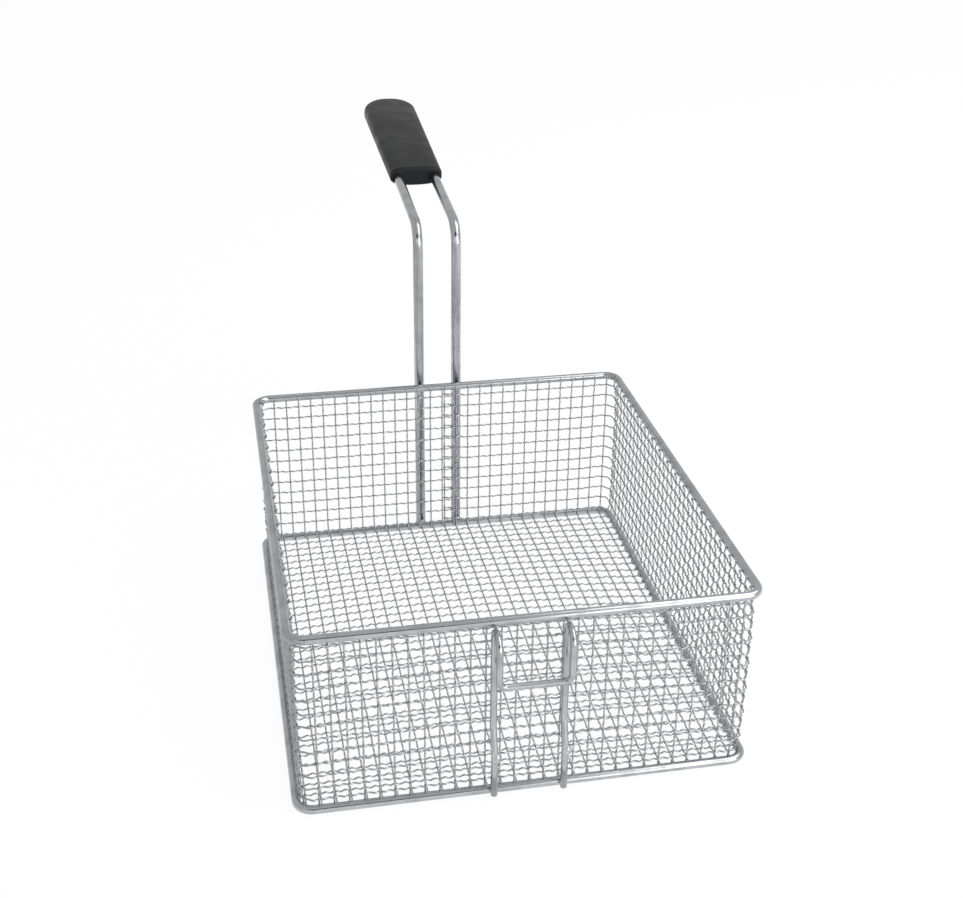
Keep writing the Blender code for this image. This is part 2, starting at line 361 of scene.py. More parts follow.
ROD_FINISH = Finish("plated_rod")
WIRE_FINISH = Finish(
    "plated_wire",
    colour=(0.475, 0.485, 0.505),
    patch_colour=(0.36, 0.365, 0.38),
    roughness=0.24,
    patch_roughness=0.16,
    patch_scale=420.0,
)
WELD_FINISH = Finish(
    "weld_bead",
    colour=(0.62, 0.62, 0.64),
    patch_colour=(0.38, 0.38, 0.40),
    roughness=0.30,
    patch_roughness=0.20,
    patch_scale=600.0,
    relief=0.5,
    relief_scale=900.0,
)
GRIP_FINISH = Finish(
    "satin_black_plastic",
    colour=(0.0075, 0.0080, 0.0096),
    patch_colour=(0.012, 0.0127, 0.0146),
    metallic=0.0,
    specular=0.27,
    roughness=0.42,
    patch_roughness=-0.12,
    patch_scale=45.0,
    patch_detail=4.0,
    patch_range=(0.35, 0.75),
    relief=0.18,
    relief_scale=2600.0,
    relief_detail=1.0,
    relief_distance=0.0002,
)


# Paths and rods


def arc(centre: Vector, start: Vector, end: Vector, steps: int) -> list[Vector]:
    """Points of an arc.

    Args:
        centre: Its centre.
        start: Its first point.
        end: Its last point, as far from the centre.
        steps: The number of equal steps between them.

    Returns:
        The points, both ends included.
    """
    first, last = start - centre, end - centre
    angle = first.angle(last)
    shares = [step / steps for step in range(steps + 1)]
    return [
        centre + (first * math.sin((1 - s) * angle) + last * math.sin(s * angle)) / math.sin(angle)
        for s in shares
    ]


def bent_path(corners: Sequence[Sequence[float]], bends: Sequence[float], steps: int) -> list[Vector]:
    """The centre line of a rod bent at each inner corner.

    Args:
        corners: The corners of its straight stretches.
        bends: The bend radius at each inner corner.
        steps: The steps in each bend.

    Returns:
        The path's points.
    """
    points = [Vector(corners[0])]
    for before, corner, after, bend in zip(corners, corners[1:], corners[2:], bends):
        corner = Vector(corner)
        back = (Vector(before) - corner).normalized()
        onward = (Vector(after) - corner).normalized()
        half_angle = back.angle(onward) / 2
        run = bend / math.tan(half_angle)
        centre = corner + (back + onward).normalized() * bend / math.sin(half_angle)
        points += arc(centre, corner + back * run, corner + onward * run, steps)
    points.append(Vector(corners[-1]))
    return points


def mirrored(half: Sequence[Vector]) -> list[Vector]:
    """A half path at -X, closed by its mirror image at +X."""
    return [*half, *(Vector((-x, y, z)) for x, y, z in reversed(half))]


class RoundedRectangle:
    """A rectangle with rounded corners, run anticlockwise from the middle of its front."""

    def __init__(self, half_x: float, half_y: float, radius: float, centre_y: float) -> None:
        """Holds half its sizes, its corner radius and where its centre is along Y."""
        self.half_y, self.radius, self.centre_y = half_y, radius, centre_y
        flat_x, flat_y = 2 * (half_x - radius), 2 * (half_y - radius)
        turn = radius * math.pi / 2
        self.runs = [flat_x / 2, turn, flat_y, turn, flat_x, turn, flat_y, turn, flat_x / 2]
        self.length = sum(self.runs)

    def at(self, distance: float) -> tuple[Vector, Vector]:
        """A place on the outline.

        Args:
            distance: How far along the outline it is.

        Returns:
            The point, and the direction outwards there.
        """
        place, heading = Vector((0, self.centre_y - self.half_y, 0)), 0.0
        left = distance % self.length
        for index, run in enumerate(self.runs):
            part = min(left, run)
            if index % 2 == 0:
                place += Vector((math.cos(heading), math.sin(heading), 0)) * part
            else:
                inward = Vector((-math.sin(heading), math.cos(heading), 0))
                middle = place + inward * self.radius
                heading += part / self.radius
                place = middle + Vector((math.sin(heading), -math.cos(heading), 0)) * self.radius
            left -= part
            if left <= 0:
                break
        return place, Vector((math.sin(heading), -math.cos(heading), 0))

    def stations(self, steps: int) -> list[float]:
        """Distances that divide each rounded corner into this many steps."""
        found, passed = [], 0.0
        for index, run in enumerate(self.runs):
            if index % 2 == 1:
                found += [passed + run * step / steps for step in range(steps + 1)]
            passed += run
        return found

    def corner_middles(self) -> list[float]:
        """Distances to the middle of each rounded corner."""
        return [sum(self.runs[:index]) + self.runs[index] / 2 for index in (1, 3, 5, 7)]


def rod_mesh(
    name: str, paths: Iterable[Sequence[Vector]], diameter: float, sides: int, closed: bool = False
) -> Mesh:
    """Round rod swept along each path.

    Args:
        name: The mesh's name.
        paths: One list of points for each rod.
        diameter: The rods' diameter.
        sides: The number of sides of their section.
        closed: Whether each path closes on itself.

    Returns:
        The swept mesh, with its caps welded on.
    """
    curve = bpy.data.curves.new(name, "CURVE")
    curve.dimensions = "3D"
    curve.twist_mode = "Z_UP" if closed else "MINIMUM"
    curve.bevel_depth = diameter / 2
    curve.bevel_resolution = sides // 2 - 2
    curve.use_fill_caps = not closed
    for points in paths:
        spline = curve.splines.new("POLY")
        spline.points.add(len(points) - 1)
        for place, point in zip(spline.points, points):
            place.co = (*point, 1.0)
        spline.use_cyclic_u = closed
        spline.use_smooth = True
    return plain_mesh(name, curve)


def placed(name: str, data: bpy.types.ID) -> bpy.types.Object:
    """Puts a new object that carries some data into the scene."""
    made = bpy.data.objects.new(name, data)
    bpy.context.scene.collection.objects.link(made)
    return made


def plain_mesh(
    name: str, data: bpy.types.ID, modify: Callable[[bpy.types.Object], None] | None = None
) -> Mesh:
    """The evaluated mesh of some data.

    Args:
        name: The new mesh's name.
        data: A curve or a mesh.
        modify: Adds modifiers to the object that carries it, if given.

    Returns:
        The plain mesh, its doubles merged and its faces turned outwards.
    """
    guide = placed(name + "_guide", data)
    if modify:
        modify(guide)
    evaluated = guide.evaluated_get(bpy.context.evaluated_depsgraph_get())
    mesh = bpy.data.meshes.new_from_object(evaluated)
    bpy.data.objects.remove(guide, do_unlink=True)
    body = bmesh.new()
    body.from_mesh(mesh)
    bmesh.ops.remove_doubles(body, verts=body.verts, dist=MERGE_DISTANCE)
    bmesh.ops.recalc_face_normals(body, faces=body.faces)
    body.to_mesh(mesh)
    body.free()
    mesh.name = name
    return mesh


def add_piece(
    name: str, mesh: Mesh, material: Material, slot: Slot, *nodes: Node
) -> bpy.types.Object:
    """Puts a finished mesh into the scene as a piece of the basket.

    Args:
        name: The piece's name.
        mesh: Its mesh, already in place.
        material: Its finish.
        slot: The record's slot for that finish; not used.
        nodes: The CAD nodes that it stands for.

    Returns:
        The piece.
    """
    piece = placed(name, mesh)
    mesh.materials.clear()
    mesh.materials.append(material)
    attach(piece, BODY)
    if nodes:
        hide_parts(*(node.value for node in nodes))
    LOG.info("%s: %d faces", name, len(mesh.polygons))
    return piece


# The basket's sizes, read from the frame where it holds them


@dataclass(frozen=True)
class BasketSizes:
    """Sizes that the sub-assemblies share."""

    frame_rod: float = 0.006
    handle_rod: float = 0.008
    hook_rod: float = 0.0046
    wire: float = 0.0012
    gap: float = 0.0003
    corner: float = 0.011
    rim_low: Vector = field(default_factory=lambda: Vector(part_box(Node.RIM.value)[0]))
    rim_high: Vector = field(default_factory=lambda: Vector(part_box(Node.RIM.value)[1]))

    @property
    def half_x(self) -> float:
        """Half the width between the rods' centre lines."""
        return (self.rim_high.x - self.rim_low.x - self.frame_rod) / 2

    @property
    def half_y(self) -> float:
        """Half the depth between the rods' centre lines."""
        return (self.rim_high.y - self.rim_low.y - self.frame_rod) / 2

    @property
    def centre_y(self) -> float:
        """The middle of the box along Y."""
        return (self.rim_high.y + self.rim_low.y) / 2

    @property
    def front_y(self) -> float:
        """Where the rods' centre lines are at the front."""
        return self.centre_y - self.half_y

    @property
    def back_y(self) -> float:
        """Where the rods' centre lines are at the back."""
        return self.centre_y + self.half_y

    @property
    def ring_z(self) -> float:
        """Height of the foot ring's centre line."""
        return self.frame_rod / 2

    @property
    def rim_z(self) -> float:
        """Height of the rim's centre line."""
        return (self.rim_low.z + self.rim_high.z) / 2

    def outline(self, inset: float = 0.0) -> RoundedRectangle:
        """The rods' centre lines seen from above, or a line that runs inside them at this distance."""
        half_x, half_y = self.half_x - inset, self.half_y - inset
        return RoundedRectangle(half_x, half_y, self.corner - inset, self.centre_y)


# Woven wire


class WeaveTree(GuideTree):
    """Geometry Nodes that lay one family of crimped wires in a panel and bend the panel along a path.

    In the flat panel, u runs along the path, v across it, and w stands out of it. Each wire bends
    over and under the wires that cross it, with one more bend to either side in between. The panel
    stands out in a crown, as far as the path's radius allows, and is then carried on to the path.
    """

    NAME = "crimped_wires"
    INPUTS = {
        "Run along path": True,
        "Wires": 10,
        "First wire": 0.0,
        "Wire spacing": 0.01,
        "Start": 0.0,
        "End": 0.1,
        "Points": 10,
        "First crossing": 0.0,
        "Crossing spacing": 0.01,
        "Crimp": 0.001,
        "Crown": 0.0,
        "Crown low": -1.0,
        "Crown high": 1.0,
        "Crown flatness": 2.0,
        "Waver": 0.0,
        "Waver seed": 0.0,
        "Up": (0.0, 0.0, 1.0),
        "Wire radius": 0.001,
        "Sides": 8,
        "Finish": None,
    }
    HALF_WAVES = 3
    WAVER_SCALE = 9.0
    WAVER_DETAIL = 1.0

    def made(self) -> Socket:
        """The crimped wires, in their places and with their thickness."""
        wires = self.flat_wires()
        return self.tubes(self.carried(wires, *self.panel_place()))

    def flat_wires(self) -> Socket:
        """Straight wires side by side, each along X, at its own place along Y."""
        graph, given = self.graph, self.given
        ends = {"Start": graph.joined(X=given["Start"]), "End": graph.joined(X=given["End"])}
        line = graph.add("GeometryNodeCurvePrimitiveLine", None, ends)
        values = {"Curve": line["Curve"], "Count": given["Points"]}
        fine = graph.add("GeometryNodeResampleCurve", {"mode": "COUNT"}, values)
        values = {
            "Count": given["Wires"],
            "Start Location": graph.joined(Y=given["First wire"]),
            "Offset": graph.joined(Y=given["Wire spacing"]),
        }
        places = graph.add("GeometryNodeMeshLine", {"mode": "OFFSET"}, values)
        values = {"Points": places["Mesh"], "Instance": fine["Curve"]}
        copies = graph.add("GeometryNodeInstanceOnPoints", None, values)
        return graph.add("GeometryNodeRealizeInstances", None, {0: copies["Instances"]})[0]

    def panel_place(self) -> tuple[Socket, Socket, Socket, Socket]:
        """Where each point of a wire is in the panel.

        Returns:
            Its u, its v, its height in the crimp, and its height in a full crown.
        """
        graph, given = self.graph, self.given
        parts = graph.parts(graph.add("GeometryNodeInputPosition")["Position"])
        on_wire, own_place = parts["X"], parts["Y"]
        index = graph.add("GeometryNodeCurveOfPoint")["Curve Index"]
        turn = (on_wire - given["First crossing"]) / given["Crossing spacing"] + index
        crimp = (turn * (self.HALF_WAVES * math.pi)).cosine() * given["Crimp"]
        noise_at = graph.joined(X=on_wire, Y=index, Z=given["Waver seed"])
        noise = graph.noise(noise_at, self.WAVER_SCALE, self.WAVER_DETAIL)
        own_place = own_place + (noise - 0.5) * given["Waver"]
        places = []
        for along, across in ((on_wire, own_place), (own_place, on_wire)):
            values = {"Switch": given["Run along path"], "False": across, "True": along}
            places.append(graph.add("GeometryNodeSwitch", {"input_type": "FLOAT"}, values)["Output"])
        u, v = places
        across = (v - given["Crown low"]) / (given["Crown high"] - given["Crown low"])
        edge_share = (across * 2.0 - 1.0).size() ** given["Crown flatness"]
        return u, v, crimp, (1.0 - edge_share) * given["Crown"]

    def carried(self, wires: Socket, u: Socket, v: Socket, crimp: Socket, crown: Socket) -> Socket:
        """The wires, bent along the path.

        Args:
            wires: The straight wires.
            u: Each point's place along the path.
            v: Its place across it.
            crimp: Its height in the crimp.
            crown: Its height in a full crown.

        Returns:
            The bent wires.
        """
        graph, given = self.graph, self.given
        radius = graph.add("GeometryNodeInputRadius")["Radius"]
        settings = {"mode": "LENGTH", "data_type": "FLOAT"}
        values = {"Curves": given["Geometry"], "Value": radius, "Length": u}
        path = graph.add("GeometryNodeSampleCurve", settings, values)
        outward = graph.vector("CROSS_PRODUCT", path["Tangent"], given["Up"])
        stood_out = graph.scaled(graph.vector("NORMALIZE", outward), crimp + crown * path["Value"])
        moved_up = graph.scaled(given["Up"], v)
        place = graph.vector("ADD", path["Position"], graph.vector("ADD", stood_out, moved_up))
        return graph.add("GeometryNodeSetPosition", None, {"Geometry": wires, "Position": place})[0]

    def tubes(self, wires: Socket) -> Socket:
        """The bent wires with their round section and closed ends."""
        graph, given = self.graph, self.given
        values = {"Resolution": given["Sides"], "Radius": given["Wire radius"]}
        section = graph.add("GeometryNodeCurvePrimitiveCircle", None, values)
        values = {"Curve": wires, "Profile Curve": section["Curve"], "Fill Caps": True}
        return graph.add("GeometryNodeCurveToMesh", None, values)["Mesh"]

    def weave(self, name: str, path: Sequence[tuple[Vector, float]], values: dict[str, object]) -> Mesh:
        """One family of wires as a plain mesh.

        Args:
            name: The mesh's name.
            path: The points of the path that carries the panel, each with its share of the crown.
            values: The tree's inputs, by name.

        Returns:
            The mesh.
        """
        curve = bpy.data.curves.new(name, "CURVE")
        curve.dimensions = "3D"
        spline = curve.splines.new("POLY")
        spline.points.add(len(path) - 1)
        for place, (point, crown_share) in zip(spline.points, path):
            place.co = (*point, 1.0)
            place.radius = crown_share
        return self.run(name, curve, values)


@dataclass(frozen=True)
class CrimpedWire:
    """The wire that both panels are woven of, and how finely it is drawn."""

    diameter: float
    crimp: float = 0.00060
    points_per_pitch: int = 9
    sides: int = 8
    waver: float = 0.00030

    def inputs(self, finish: Material) -> dict[str, object]:
        """The weave's inputs that every family of wires shares."""
        return {
            "Wire radius": self.diameter / 2,
            "Sides": self.sides,
            "Finish": finish,
            "Waver": self.waver,
        }

    def family(
        self, run: Run, spacing: float, ends: Pair, crossing: float, pitch: float
    ) -> dict[str, object]:
        """The inputs of one family of wires, with a point on every bend.

        Args:
            run: Which way its wires run.
            spacing: Their spacing.
            ends: The places that they lie between, which they reach to within a step.
            crossing: Where they meet one of the wires that cross them.
            pitch: The spacing of the wires that cross them.

        Returns:
            The inputs, by name.
        """
        step = pitch / self.points_per_pitch
        before, after = math.floor((crossing - ends[0]) / step), math.floor((ends[1] - crossing) / step)
        return {
            "Run along path": run.value,
            "Wire spacing": spacing,
            "Crimp": self.crimp if run is Run.ALONG else -self.crimp,
            "Start": crossing - before * step,
            "End": crossing + after * step,
            "Points": before + after + 1,
            "First crossing": crossing,
            "Crossing spacing": pitch,
        }


def eased(share: float) -> float:
    """A smooth step: zero up to zero, and one from one on."""
    share = min(1.0, max(0.0, share))
    return share**2 * (3 - 2 * share)


def even_groups(count: int, groups: int) -> list[tuple[int, int]]:
    """Splits a row of wires into groups that each start with an even one.

    Args:
        count: The number of wires.
        groups: The number of groups.

    Returns:
        The first wire of each group, and how many it has.
    """
    firsts = [2 * round(count * group / groups / 2) for group in range(groups)]
    return [(first, after - first) for first, after in zip(firsts, [*firsts[1:], count])]


@dataclass
class WovenWall:
    """The wall: one woven strip bent round all four sides, its ends lapped on the back wall."""

    sizes: BasketSizes
    pitch: float = 0.00984
    level_pitch: float = 0.0098
    lowest_level: float = 0.0052
    levels: int = 13
    seam_x: float = 0.0041
    lap: float = 0.0077
    tail: float = 0.0021
    lap_lift: float = 0.0009
    past_rod: float = 0.0008
    path_step: float = 0.001
    groups: int = 2
    crown: float = 0.0033
    crown_flatness: float = 6.0
    flat_share: float = 0.5
    corner_reach: float = 0.020
    hook_reach: float = 0.040
    weld_out: float = 0.0009
    level_seed: float = 1.0
    upright_seed: float = 11.0

    def outline(self) -> RoundedRectangle:
        """The wall's middle surface, which the rods lie against."""
        return self.sizes.outline(self.sizes.frame_rod / 2 + self.sizes.wire)

    def strip(self, outline: RoundedRectangle) -> Pair:
        """Where on the outline the strip starts, on the right of the seam, and the strip's length."""
        to_back = sum(outline.runs[:4]) + outline.runs[4] / 2
        start = to_back - self.seam_x - self.lap - self.tail
        return start, outline.length + self.lap + 2 * self.tail

    def crown_share(self, outline: RoundedRectangle, station: float) -> float:
        """How much of the crown the wall has at a place: all at its corners, none behind the hook."""
        station %= outline.length
        to_corner = min(abs(station - middle) for middle in outline.corner_middles())
        to_front = min(station, outline.length - station)
        share = self.flat_share + (1 - self.flat_share) * eased(1 - to_corner / self.corner_reach)
        return share * eased(to_front / self.hook_reach - 1)

    def path(self) -> tuple[list[tuple[Vector, float]], float]:
        """The strip's path at the foot ring's height.

        Returns:
            Its points, each with its share of the crown, from the end on the right of the seam round
            to the other end, and its length.
        """
        outline = self.outline()
        start, length = self.strip(outline)
        steps = round(length / self.path_step)
        points = []
        for index in range(steps + 1):
            along = length * index / steps
            point, outward = outline.at(start + along)
            lapped = min(1.0, max(0.0, along - outline.length + self.lap) / (2 * self.lap))
            point += outward * self.sizes.wire * 2 * lapped
            point.z = self.sizes.ring_z + self.lap_lift * lapped
            points.append((point, self.crown_share(outline, start + along)))
        return points, length

    def upright_places(self, length: float) -> tuple[int, float]:
        """The number of upright wires on a strip of this length, and their spacing."""
        uprights = round((length - 2 * self.tail) / self.pitch) + 1
        return uprights, (length - 2 * self.tail) / (uprights - 1)

    def weld_places(self) -> list[Vector]:
        """Where each upright wire is welded to the rim and to the foot ring."""
        outline, sizes = self.outline(), self.sizes
        start, length = self.strip(outline)
        uprights, spacing = self.upright_places(length)
        places = []
        for index in range(uprights):
            point, outward = outline.at(start + self.tail + index * spacing)
            point += outward * self.weld_out
            places += [Vector((point.x, point.y, height)) for height in (sizes.ring_z, sizes.rim_z)]
        return places

    def build(self, tree: WeaveTree, wire: CrimpedWire, finish: Material) -> None:
        """Makes the wall's two families of wires.

        Args:
            tree: The weave's node tree.
            wire: The wire that it is woven of.
            finish: The wire's material.
        """
        path, length = self.path()
        uprights, spacing = self.upright_places(length)
        height = self.sizes.rim_z - self.sizes.ring_z
        shared = {
            **wire.inputs(finish),
            "Crown": self.crown,
            "Crown low": 0.0,
            "Crown high": height,
            "Crown flatness": self.crown_flatness,
        }
        level = wire.family(Run.ALONG, self.level_pitch, (0.0, length), self.tail, spacing)
        ends = (-self.past_rod, height + self.past_rod)
        upright = wire.family(Run.ACROSS, spacing, ends, self.lowest_level, self.level_pitch)
        families = (
            ("wall_level_wires", level, self.levels, self.lowest_level, self.level_seed),
            ("wall_upright_wires", upright, uprights, self.tail, self.upright_seed),
        )
        for name, family, count, first_place, seed in families:
            for group, (first, wires) in enumerate(even_groups(count, self.groups)):
                own = {
                    "Wires": wires,
                    "First wire": first_place + first * family["Wire spacing"],
                    "Waver seed": seed + group,
                }
                piece = f"{name}_{group + 1}"
                mesh = tree.weave(piece, path, {**shared, **family, **own})
                add_piece(piece, mesh, finish, Slot.WIRE, Node.WALL)


@dataclass
class WovenFloor:
    """The floor: a woven panel crowned upwards, its wires' ends welded to the foot ring."""

    sizes: BasketSizes
    long_wires: int = 30
    long_pitch: float = 0.00983
    first_long_x: float = -0.1439
    cross_wires: int = 33
    cross_pitch: float = 0.01002
    cross_offset: float = 0.0010
    end_in_ring: float = 0.0010
    crown: float = 0.008
    path_points: int = 65
    cross_seed: float = 3.0
    long_seed: float = 4.0

    def build(self, tree: WeaveTree, wire: CrimpedWire, finish: Material) -> None:
        """Makes the floor's two families of wires.

        Args:
            tree: The weave's node tree.
            wire: The wire that it is woven of.
            finish: The wire's material.
        """
        inset = self.sizes.frame_rod / 2 - self.end_in_ring
        half_x, half_y = self.sizes.half_x - inset, self.sizes.half_y - inset
        middle = Vector((0, self.sizes.centre_y, self.sizes.ring_z))
        places = [2 * index / (self.path_points - 1) - 1 for index in range(self.path_points)]
        path = [(middle + Vector((place * half_x, 0, 0)), 1 - place**2) for place in places]
        first_long = self.first_long_x + half_x
        first_cross = self.cross_offset - self.cross_pitch * (self.cross_wires // 2)
        shared = {
            **wire.inputs(finish),
            "Up": (0.0, 1.0, 0.0),
            "Crown": self.crown,
            "Crown low": -half_y,
            "Crown high": half_y,
        }
        cross = wire.family(Run.ALONG, self.cross_pitch, (0.0, 2 * half_x), first_long, self.long_pitch)
        long = wire.family(Run.ACROSS, self.long_pitch, (-half_y, half_y), first_cross, self.cross_pitch)
        families = (
            ("floor_cross_wires", cross, self.cross_wires, first_cross, self.cross_seed),
            ("floor_long_wires", long, self.long_wires, first_long, self.long_seed),
        )
        for name, family, wires, first, seed in families:
            own = {"Wires": wires, "First wire": first, "Waver seed": seed}
            mesh = tree.weave(name, path, {**shared, **family, **own})
            add_piece(name, mesh, finish, Slot.WIRE, Node.FLOOR)


# Rods


@dataclass
class FrameRods:
    """The rim and the foot ring, each one closed rod round the outside of the mesh."""

    sizes: BasketSizes
    sides: int = 28
    corner_steps: int = 14

    def build(self, finish: Material) -> None:
        """Makes both rods.

        Args:
            finish: Their material.
        """
        outline = self.sizes.outline()
        rods = (
            ("rim_rod", Node.RIM, self.sizes.rim_z),
            ("foot_ring_rod", Node.RING, self.sizes.ring_z),
        )
        for name, node, height in rods:
            points = [outline.at(station)[0] for station in outline.stations(self.corner_steps)]
            for point in points:
                point.z = height
            mesh = rod_mesh(name, [points], self.sizes.frame_rod, self.sides, closed=True)
            add_piece(name, mesh, finish, Slot.ROD, node)


@dataclass
class Handle:
    """The handle: one bent rod, and the grip moulded round its closed end."""

    sizes: BasketSizes
    spacing: float = 0.0306
    rise: float = 0.1355
    tilt: float = math.radians(4.5)
    bend: float = 0.018
    loop_bend: float = 0.012
    foot: float = 0.001
    setback: float = 0.107
    grip_length: float = 0.189
    grip_width: float = 0.0444
    above_rod: float = 0.0093
    below_rod: float = 0.0070
    end_wall: float = 0.035
    far_width: float = 1.08
    far_thickness: float = 1.15
    end_angle: float = math.radians(86)
    end_sharpness: float = 0.22
    front_rounding: float = 0.0022
    front_steps: int = 4
    top_squareness: float = 3.8
    bottom_squareness: float = 2.5
    section_points: int = 72
    end_steps: int = 20
    sharp_angle: float = math.radians(40)
    mouth_depth: float = 0.020
    sides: int = 28
    bend_steps: int = 16

    @property
    def leg_y(self) -> float:
        """Where the legs stand, behind both rods."""
        sizes = self.sizes
        return sizes.back_y + sizes.frame_rod / 2 + sizes.gap + sizes.handle_rod / 2

    def arm(self, distance: float, across: float = 0.0) -> Vector:
        """A point on the arm, this far from the corner where the leg meets it."""
        y = self.leg_y + distance * math.cos(self.tilt)
        z = self.sizes.rim_z + self.rise + distance * math.sin(self.tilt)
        return Vector((across, y, z))

    def rod_path(self) -> list[Vector]:
        """The rod's centre line, up one leg, round its closed end and down the other."""
        side = self.spacing / 2
        loop_end = self.setback + self.grip_length - self.end_wall
        corners = [
            (-side, self.leg_y, self.foot),
            self.arm(0, -side),
            self.arm(loop_end, -side),
            self.arm(loop_end, 0),
        ]
        return mirrored(bent_path(corners, [self.bend, self.loop_bend], self.bend_steps)[:-1])

    def section(self, half_width: float, top: float, bottom: float) -> list[Pair]:
        """A moulded section: nearly flat on top, fuller below, rounded at the sides."""
        points = []
        for index in range(self.section_points):
            angle = 2 * math.pi * (index + 0.5) / self.section_points
            cosine, sine = math.cos(angle), math.sin(angle)
            upper = sine > 0
            power = 2 / (self.top_squareness if upper else self.bottom_squareness)
            x = math.copysign(abs(cosine) ** power, cosine) * half_width
            z = math.copysign(abs(sine) ** power, sine) * (top if upper else bottom)
            points.append((x, z))
        return points

    def sections(self) -> list[Triple]:
        """(distance along the grip, half width, share of the thickness), front to far end."""
        half = self.grip_width / 2
        rings = []
        for step in range(self.front_steps + 1):
            angle = step / self.front_steps * math.pi / 2
            inset = self.front_rounding * (1 - math.sin(angle))
            along = self.front_rounding * (1 - math.cos(angle))
            rings.append((along, half - inset, 1 - inset / self.above_rod))
        far_half = half * self.far_width
        for step in range(self.end_steps + 1):
            angle = self.end_angle * step / self.end_steps
            along = self.grip_length - far_half * (1 - math.sin(angle))
            thickness = self.far_thickness * math.cos(angle) ** self.end_sharpness
            rings.append((along, far_half * math.cos(angle), thickness))
        return rings

    def grip_mesh(self) -> Mesh:
        """The grip, with the two round mouths that the rod goes into."""
        body = bmesh.new()
        loops = []
        for along, half_width, share in self.sections():
            ring = self.section(half_width, self.above_rod * share, self.below_rod * share)
            loops.append([body.verts.new((x, along, z)) for x, z in ring])
        for first, second in zip(loops, loops[1:]):
            for index in range(self.section_points):
                after = (index + 1) % self.section_points
                body.faces.new((first[index], first[after], second[after], second[index]))
        body.faces.new(loops[0])
        body.faces.new(loops[-1])
        bmesh.ops.recalc_face_normals(body, faces=body.faces)
        mesh = bpy.data.meshes.new("grip")
        body.to_mesh(mesh)
        body.free()
        side = self.spacing / 2
        paths = [[Vector((x, y, 0)) for y in (-self.mouth_depth, self.mouth_depth)] for x in (-side, side)]
        bore = self.sizes.handle_rod + 2 * self.sizes.gap
        cutter = placed("mouths", rod_mesh("mouths", paths, bore, self.sides))

        def modify(guide: bpy.types.Object) -> None:
            """Cuts the mouths."""
            cut = guide.modifiers.new("mouths", "BOOLEAN")
            cut.operation = "DIFFERENCE"
            cut.solver = "EXACT"
            cut.object = cutter

        made = plain_mesh("grip", mesh, modify)
        bpy.data.objects.remove(cutter, do_unlink=True)
        made.transform(Matrix.Translation(self.arm(self.setback)) @ Matrix.Rotation(self.tilt, 4, "X"))
        made.shade_smooth()
        made.set_sharp_from_angle(angle=self.sharp_angle)
        return made

    def build(self, steel: Material, plastic: Material) -> None:
        """Makes the rod and the grip.

        Args:
            steel: The rod's material.
            plastic: The grip's material.
        """
        rod = rod_mesh("handle_rod", [self.rod_path()], self.sizes.handle_rod, self.sides)
        add_piece("handle_rod", rod, steel, Slot.ROD, Node.HANDLE)
        add_piece("grip", self.grip_mesh(), plastic, Slot.GRIP, Node.GRIP)


@dataclass
class FrontHook:
    """The hook: legs on the ring and the mesh, bent over under the rim, with a bar between them."""

    sizes: BasketSizes
    spacing: float = 0.0464
    reach: float = 0.0161
    drop: float = 0.0332
    rim_bend: float = 0.005
    front_bend: float = 0.009
    bar_bend: float = 0.005
    joggle_bend: float = 0.006
    joggle_low: float = 0.0335
    joggle_high: float = 0.0500
    foot: float = 0.0025
    sides: int = 20
    bend_steps: int = 10

    def path(self) -> list[Vector]:
        """The rod's centre line, from one foot over the bar to the other."""
        sizes, side = self.sizes, self.spacing / 2
        wall_y = sizes.front_y + sizes.frame_rod / 2 + sizes.gap + sizes.wire / 2
        on_mesh = wall_y - sizes.wire - sizes.gap - sizes.hook_rod / 2
        on_ring = sizes.front_y - sizes.frame_rod / 2 - sizes.gap - sizes.hook_rod / 2
        top = sizes.rim_z - sizes.frame_rod / 2 - sizes.gap - sizes.hook_rod / 2
        bar = top - self.drop
        corners = [
            (-side, on_ring, self.foot),
            (-side, on_ring, sizes.ring_z + self.joggle_low),
            (-side, on_mesh, sizes.ring_z + self.joggle_high),
            (-side, on_mesh, top),
            (-side, on_mesh - self.reach, top),
            (-side, on_mesh - self.reach, bar),
            (0, on_mesh - self.reach, bar),
        ]
        bends = [self.joggle_bend, self.joggle_bend, self.rim_bend, self.front_bend, self.bar_bend]
        return mirrored(bent_path(corners, bends, self.bend_steps)[:-1])

    def build(self, finish: Material) -> None:
        """Makes the hook.

        Args:
            finish: Its material.
        """
        mesh = rod_mesh("hook_rod", [self.path()], self.sizes.hook_rod, self.sides)
        add_piece("hook_rod", mesh, finish, Slot.ROD, Node.HOOK)


# Welds


class BeadTree(GuideTree):
    """Geometry Nodes that put one weld bead on each point of a mesh."""

    NAME = "weld_beads"
    INPUTS = {
        "Bead size": (0.001, 0.001, 0.001),
        "Size change": 0.2,
        "Seed": 0,
        "Segments": 10,
        "Rings": 6,
        "Finish": None,
    }

    def made(self) -> Socket:
        """One bead on each point of the guide."""
        graph, given = self.graph, self.given
        points = graph.add("GeometryNodeMeshToPoints", None, {"Mesh": given["Geometry"]})
        values = {"Segments": given["Segments"], "Rings": given["Rings"], "Radius": 1.0}
        ball = graph.add("GeometryNodeMeshUVSphere", None, values)
        values = {2: -1.0, 3: 1.0, "Seed": given["Seed"]}
        change = graph.add("FunctionNodeRandomValue", {"data_type": "FLOAT"}, values)[1]
        scale = graph.scaled(given["Bead size"], change * given["Size change"] + 1.0)
        values = {"Points": points[0], "Instance": ball["Mesh"], "Scale": scale}
        return graph.add("GeometryNodeInstanceOnPoints", None, values)["Instances"]

    def lay(self, name: str, places: Sequence[Vector], values: dict[str, object]) -> Mesh:
        """Beads at some places as a plain mesh.

        Args:
            name: The mesh's name.
            places: The middle of each bead.
            values: The tree's inputs, by name.

        Returns:
            The mesh.
        """
        points = bpy.data.meshes.new(name)
        points.from_pydata([tuple(place) for place in places], [], [])
        return self.run(name, points, values)


